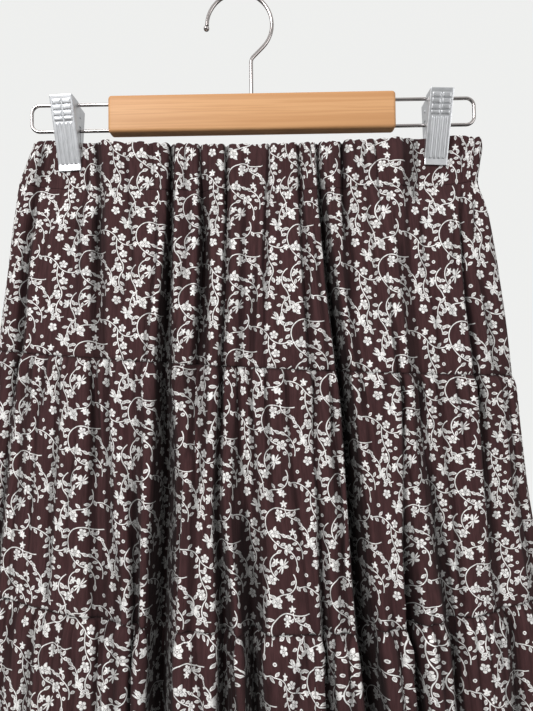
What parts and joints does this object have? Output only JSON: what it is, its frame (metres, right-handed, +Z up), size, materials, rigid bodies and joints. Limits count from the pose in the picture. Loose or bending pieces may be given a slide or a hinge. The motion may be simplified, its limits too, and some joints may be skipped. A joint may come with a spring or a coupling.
{
  "type": "tiered ruffle skirt on a clip hanger",
  "caption": "Gathered ruffle skirt in wide tiers with an elastic waist, open at waist and hem, clipped by its waist to a flat wooden hanger with a wire hook.",
  "frame": {"origin": "inside of the hook's crown, where a peg or rail carries the hanger", "axes": "+Z up, -Y towards the skirt's front, +X to the right of someone who looks at the front"},
  "size_m": [0.4792, 0.1284, 0.707],
  "materials": {
    "cloth": "fine crinkled crepe, matt, with a pale vine and flower print",
    "wood": "clear satin lacquer on straight grain",
    "wire": "bright plating",
    "clip": "zinc plated pressed sheet"
  },
  "bodies": {
    "root": {"waistband_front": "cloth", "waistband_back": "cloth", "tier_1_front": "cloth", "tier_1_back": "cloth", "tier_2_front": "cloth", "tier_2_back": "cloth", "tier_3_front": "cloth", "tier_3_back": "cloth", "hanger_bar": "wood", "hanger_hook": "wire", "wire_loop_left": "wire", "wire_loop_right": "wire", "clip_left_front": "clip", "clip_left_back": "clip", "clip_left_pivot": "clip", "clip_right_front": "clip", "clip_right_back": "clip", "clip_right_pivot": "clip"}
  },
  "joints": []
}
